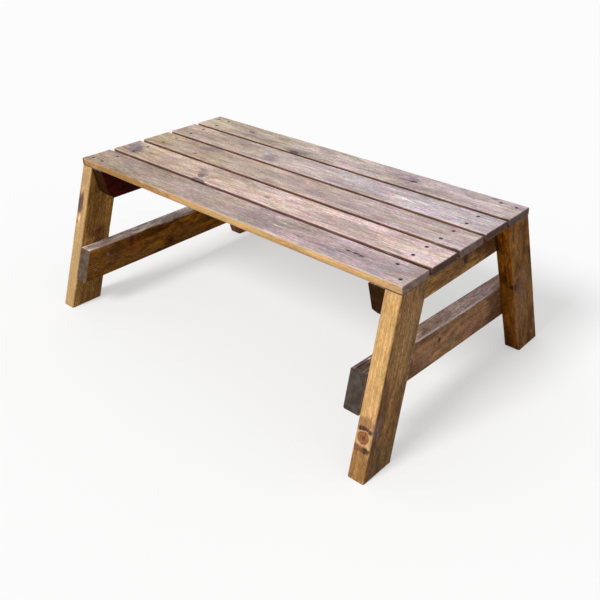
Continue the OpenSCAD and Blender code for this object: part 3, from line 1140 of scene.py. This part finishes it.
# What legs and rails have alike, and what tells them from each other
FRAME_ALIKE = dict(low_w=FRAME_BROWN, high_w=FRAME_BROWN, low_v=GOLDEN, high_v=INNER_BROWN,
                   weathered=(181, 169, 165), sawn=(104, 87, 74), worn=FRAME_WORN,
                   figure=FRAME_FIGURE, shine=0.12, lean=(0, 0.008, 0.012), up_from=(0.8, 0.97),
                   patch_mm=(36, 15, 15))
FRAME_LOOKS = {
    # The front left leg's inner face colour, high_w, is paler with painted light, against the table
    # top's shade on it
    "leg_front_left": dict(pith=(0, -64, 16), high_w=(183, 138, 65), low_v=(201, 164, 110)),
    "leg_back_left": dict(pith=(0, -50, -40)),
    "leg_front_right": dict(pith=(0, 70, -30), high_w=(138, 100, 48), low_v=(208, 167, 107)),
    "leg_back_right": dict(pith=(0, 30, -58), high_w=(123, 85, 34), high_v=(147, 90, 18),
                           figure=BLOTCHED_FIGURE, shine=0.04),
    # The left top rail's inner face colour, high_w, is near black with painted shade from the table
    # top
    "top_rail_left": dict(pith=(0, 60, -20), high_w=(74, 16, 8), low_v=INNER_BROWN,
                          sawn=(56, 32, 8), worn=(96, 64, 40), shine=0.04),
    "top_rail_right": dict(pith=(0, 20, -62), high_w=(179, 137, 75), low_v=INNER_BROWN,
                           sawn=(56, 32, 8), worn=(140, 104, 70), shine=0.06),
    "low_rail_left": dict(pith=(0, -14, -64), high_w=(132, 86, 17), low_v=INNER_BROWN,
                          weathered=(194, 187, 168), sawn=(100, 85, 71), figure=BLOTCHED_FIGURE,
                          shine=0.04),
    # The right low rail's weathered top colour is paler with painted light, against the shade that the
    # table top casts on it
    "low_rail_right": dict(pith=(0, 26, -56), high_w=(155, 115, 71), low_v=INNER_BROWN,
                           weathered=(250, 222, 193), sawn=(80, 70, 62), worn=(142, 108, 86),
                           figure=SMOOTH_FIGURE),
}


def board_finish(number):
    low_u, high_u, sawn, pith, lean = BOARDS[number]
    low_v, high_v = {1: (FRONT_GOLDEN, GAP_SHADE_BROWN), 5: (GAP_SHADE_BROWN, GOLDEN)}.get(
        number, (GAP_SHADE_BROWN, GAP_SHADE_BROWN))
    return Finish(low_v=low_v, high_v=high_v, low_w=UNDERSIDE, high_w=UNDERSIDE, sawn=sawn,
                  worn=TOP_WORN, weathered_low_u=low_u, weathered_high_u=high_u, shine=0.3,
                  figure=TOP_FIGURE, pale_side={1: -1, 5: 1}.get(number, 0), pith=pith,
                  lean=(0, 0.006, lean), spots=BOARD_SPOTS[number] + gap_end_shade_spots(number))


def frame_finish(name):
    look = FRAME_ALIKE | FRAME_LOOKS[name]
    weathered = look.pop("weathered")
    return Finish(weathered_low_u=weathered, weathered_high_u=weathered,
                  pale_side=-1 if name.startswith("leg") else 0, spots=FRAME_SPOTS[name], **look)


# Screws

def screw_material(name, dark, bright, metal, shine=0.5):
    """Steel that has gone dark in wet timber, with brighter metal where the driver rubbed; the top
    rails' screws are darker with painted shade.
    """
    material, tree = new_material(name)
    own = add_node(tree, "TexCoord").outputs["Object"]
    point = vector_calc("MULTIPLY", own, TO_MM)
    spots = noise_at(point, (2, 2, 2), 5, 3).outputs[0]
    add_surface(tree, "BsdfPrincipled", {
        "Base Color": mix_colour(ease(spots, 0.45, 0.7), dark, bright), "Metallic": metal,
        "Roughness": ease(spots, 0.3, 0.7, 0.35, 0.65), "Normal": bump(spots, 0.4, STEEL_RELIEF),
        "Specular IOR Level": shine})
    return material


# A screw's flat top, its thread, which takes up the rest below a plain share of the shank, its point
# and its cross shaped recess, whose inner corners are filled and which narrows to its floor
SCREW_SIDES = 24
TOP_RADIUS = HEAD_RADIUS - 0.4 * MM
THREAD_PITCH = 2.6 * MM
THREAD_ROOT = 1.7 * MM
PLAIN_SHARE = 0.3
THREAD_SLOPE = 3.2
RINGS_PER_TURN = 5
RINGS_TO_START = 4
POINT_LENGTH = 8 * MM
POINT_RADIUS = 0.05 * MM
RECESS_ARM = 2.5 * MM
RECESS_WIDTH = 1.1 * MM
RECESS_DEPTH = 1.6 * MM
RECESS_CORNER = 1.5
RECESS_TAPER = 0.55


def plain_rings(length):
    """Radius and height of each ring of a screw from below its head's flat top to its thread."""
    neck = -(HEAD_EDGE + HEAD_RADIUS - SHANK_RADIUS)
    return [(HEAD_RADIUS - 0.12 * MM, -0.1 * MM), (HEAD_RADIUS, -0.3 * MM),
            (HEAD_RADIUS, -HEAD_EDGE), (SHANK_RADIUS + 0.4 * MM, neck + 0.3 * MM),
            (SHANK_RADIUS, neck - 0.5 * MM), (SHANK_RADIUS, neck - PLAIN_SHARE * (length + neck))]


def thread_radius(angle, height, begin):
    """Radius of the thread at an angle. Its root sinks from the shank as begin goes from 0 to 1."""
    phase = (height / THREAD_PITCH + angle / (2 * math.pi)) % 1
    crest = max(0, 1 - abs(phase - 0.5) * THREAD_SLOPE)
    root = SHANK_RADIUS + (THREAD_ROOT - SHANK_RADIUS) * begin
    return root + (SHANK_RADIUS - root) * crest


def add_screw(bm, head, drive, length, turn):
    """A countersunk cross head screw from the middle of its head's top, driven along drive."""
    side = drive.orthogonal().normalized()
    other = drive.cross(side)
    angles = [2 * math.pi * i / SCREW_SIDES for i in range(SCREW_SIDES)]

    def ring(radii, height):
        verts = []
        for angle, radius in zip(angles, radii):
            out = side * math.cos(angle) + other * math.sin(angle)
            verts.append(bm.verts.new(head + out * radius - drive * height))
        return verts

    last = ring([TOP_RADIUS] * SCREW_SIDES, 0.0)
    add_recess(bm, head, drive, side, other, last, turn)
    rings = [([radius] * SCREW_SIDES, height) for radius, height in plain_rings(length)]
    start, end = rings[-1][1], -length + 0.5 * MM
    rows = int((start - end) / THREAD_PITCH * RINGS_PER_TURN)
    for row in range(1, rows + 1):
        height = start + (end - start) * row / rows
        taper = min(1, (height + length) / POINT_LENGTH)
        begin = min(1, row / RINGS_TO_START)
        rings.append(([thread_radius(angle, height, begin) * taper + POINT_RADIUS
                       for angle in angles], height))
    for radii, height in rings:
        following = ring(radii, height)
        join_rings(bm, last, following)
        last = following
    bm.faces.new(last)


def add_recess(bm, head, drive, side, other, rim, turn):
    """The cross shaped recess in a screw's head, and the flat top round it."""
    arm, half = RECESS_ARM, RECESS_WIDTH / 2
    outline = []
    for quarter in range(4):
        angle = turn + quarter * math.pi / 2
        x_way = side * math.cos(angle) + other * math.sin(angle)
        y_way = other * math.cos(angle) - side * math.sin(angle)
        outline += [x_way * arm - y_way * half, x_way * arm + y_way * half,
                    (x_way + y_way) * half * RECESS_CORNER]
    upper = [bm.verts.new(head + p) for p in outline]
    lower = [bm.verts.new(head + p * RECESS_TAPER + drive * RECESS_DEPTH) for p in outline]
    join_rings(bm, upper, lower)
    bm.faces.new(lower)
    edges = [bm.edges.new((a, b)) for a, b in zip(rim, rim[1:] + rim[:1])]
    edges += [bm.edges.get((a, b)) for a, b in zip(upper, upper[1:] + upper[:1])]
    bmesh.ops.triangle_fill(bm, use_beauty=True, use_dissolve=False, edges=edges)


def make_screws(node, axis, material, rng):
    """All the screws of one node, which lie along axis 0 or 2."""
    bm = bmesh.new()
    low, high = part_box(node)
    length = (high - low)[axis]
    for head in screw_heads(node, axis):
        drive = Vector((0, 0, -1)) if axis == 2 else Vector((math.copysign(1, head.x), 0, 0))
        add_screw(bm, head, drive, length, rng.uniform(0, math.pi / 2))
    bmesh.ops.recalc_face_normals(bm, faces=bm.faces[:])
    make_piece(bm, f"{node}_steel", material, node)


# Studio

CAMERA_PLACE_MM = (1476, -1504, 1299)
CAMERA_TURN = 40.99
CAMERA_TILT_DOWN = 21.95
IMAGE_SIDE_PX = 600
FOCAL_PX = 808.1
# Where the camera's axis meets the photograph
AXIS_X_PX = 334.4
AXIS_Y_PX = 180


def make_camera():
    data = bpy.data.cameras.new("camera")
    data.sensor_width = 36
    data.lens = data.sensor_width * FOCAL_PX / IMAGE_SIDE_PX
    data.shift_x = (IMAGE_SIDE_PX / 2 - AXIS_X_PX) / IMAGE_SIDE_PX
    data.shift_y = (AXIS_Y_PX - IMAGE_SIDE_PX / 2) / IMAGE_SIDE_PX
    camera = add_object("camera", data)
    camera.location = Vector(CAMERA_PLACE_MM) * MM
    camera.rotation_euler = (math.radians(90 - CAMERA_TILT_DOWN), 0, math.radians(CAMERA_TURN))
    bpy.context.scene.camera = camera


# The floor's reach, its own tone, how much of it glows, and the tone that the table gets from it
FLOOR_REACH = 30
FLOOR_TONE = (0.93, 0.93, 0.93, 1)
FLOOR_GLOW = 0.45
FLOOR_BOUNCE = (0.4, 0.4, 0.4, 1)
WHITE = (1, 1, 1, 1)


def seen_directly(tree):
    """1 for what the camera sees, also in a glossy surface or through glass."""
    path = add_node(tree, "LightPath").outputs
    seen = calc("MAXIMUM", path["Is Camera Ray"], path["Is Glossy Ray"])
    return calc("MAXIMUM", seen, path["Is Transmission Ray"])


def floor_material():
    """Pale, to show the table's shadow, but it gives less light back than it shows."""
    material, tree = new_material("pale floor")
    shown = add_node(tree, "BsdfDiffuse", {"Color": FLOOR_TONE}).outputs[0]
    lit = add_node(tree, "Emission", {"Color": WHITE, "Strength": 1.0}).outputs[0]
    pale = add_node(tree, "MixShader", {0: FLOOR_GLOW, 1: shown, 2: lit}).outputs[0]
    dim = add_node(tree, "BsdfDiffuse", {"Color": FLOOR_BOUNCE}).outputs[0]
    add_surface(tree, "MixShader", {0: seen_directly(tree), 1: dim, 2: pale})
    return material


def make_floor():
    bm = bmesh.new()
    corners = [bm.verts.new((x * FLOOR_REACH, y * FLOOR_REACH, 0))
               for x, y in ((-1, -1), (1, -1), (1, 1), (-1, 1))]
    bm.faces.new(corners)
    floor = add_shape(bm, "floor", floor_material())


# A soft lamp far away, and white light from all round
SUN_FROM = (-0.15, -1.0, 0.95)
SUN_STRENGTH = 2.4
SUN_SOFTNESS = math.radians(20)
AMBIENT = 0.5


def make_sun():
    data = bpy.data.lights.new("key", "SUN")
    data.energy = SUN_STRENGTH
    data.angle = SUN_SOFTNESS
    lamp = add_object("key", data)
    lamp.rotation_euler = Vector(SUN_FROM).to_track_quat("Z", "Y").to_euler()


def make_world():
    world = bpy.data.worlds.new("studio")
    bpy.context.scene.world = world
    world.use_nodes = True
    tree = world.node_tree
    tree.nodes.clear()
    strength = ease(seen_directly(tree), 0, 1, AMBIENT, 1.0)
    background = joined("Background", {"Color": WHITE, "Strength": strength})
    add_node(tree, "OutputWorld", {"Surface": background.outputs[0]})


BOARD_NUMBERS = range(1, 6)
SCREW_SEED = 7


def make_timber(timber, finish):
    """One timber's piece, in its own material."""
    material = timber_material(timber, finish)
    make_piece(TimberMesh(timber).build(), f"{timber.node}_timber", material, timber.node)


def make_timbers():
    for number in BOARD_NUMBERS:
        make_timber(board(number), board_finish(number))
    legs = [leg("front_left", -1, 11), leg("back_left", 1, 12), leg("front_right", -1, 13),
            leg("back_right", 1, 14)]
    rails = [top_rail("left", 21), top_rail("right", 22), low_rail("left", 23), low_rail("right", 24)]
    for timbers, slot in ((legs, "legs"), (rails, "rails")):
        for timber in timbers:
            make_timber(timber, frame_finish(timber.node))


def make_all_screws():
    black = screw_material("blackened steel", (50, 40, 48), (96, 82, 84), 0.7)
    # The top rails' screws are near black with painted shade, to sink into the shade under the table
    # top
    shade_dark_brown = screw_material("stained steel", (36, 16, 12), (58, 26, 16), 0.0, 0.08)
    rubbed = screw_material("rubbed steel", (88, 62, 44), (204, 178, 162), 0.35)
    rng = random.Random(SCREW_SEED)
    for number in BOARD_NUMBERS:
        make_screws(f"screws_board_{number}", 2, black, rng)
    for side in ("left", "right"):
        make_screws(f"screws_top_rail_{side}", 0, shade_dark_brown, rng)
        make_screws(f"screws_low_rail_{side}", 0, rubbed, rng)


bpy.context.scene.view_settings.view_transform = "Standard"
make_camera()
make_world()
make_sun()
make_floor()
make_timbers()
make_all_screws()
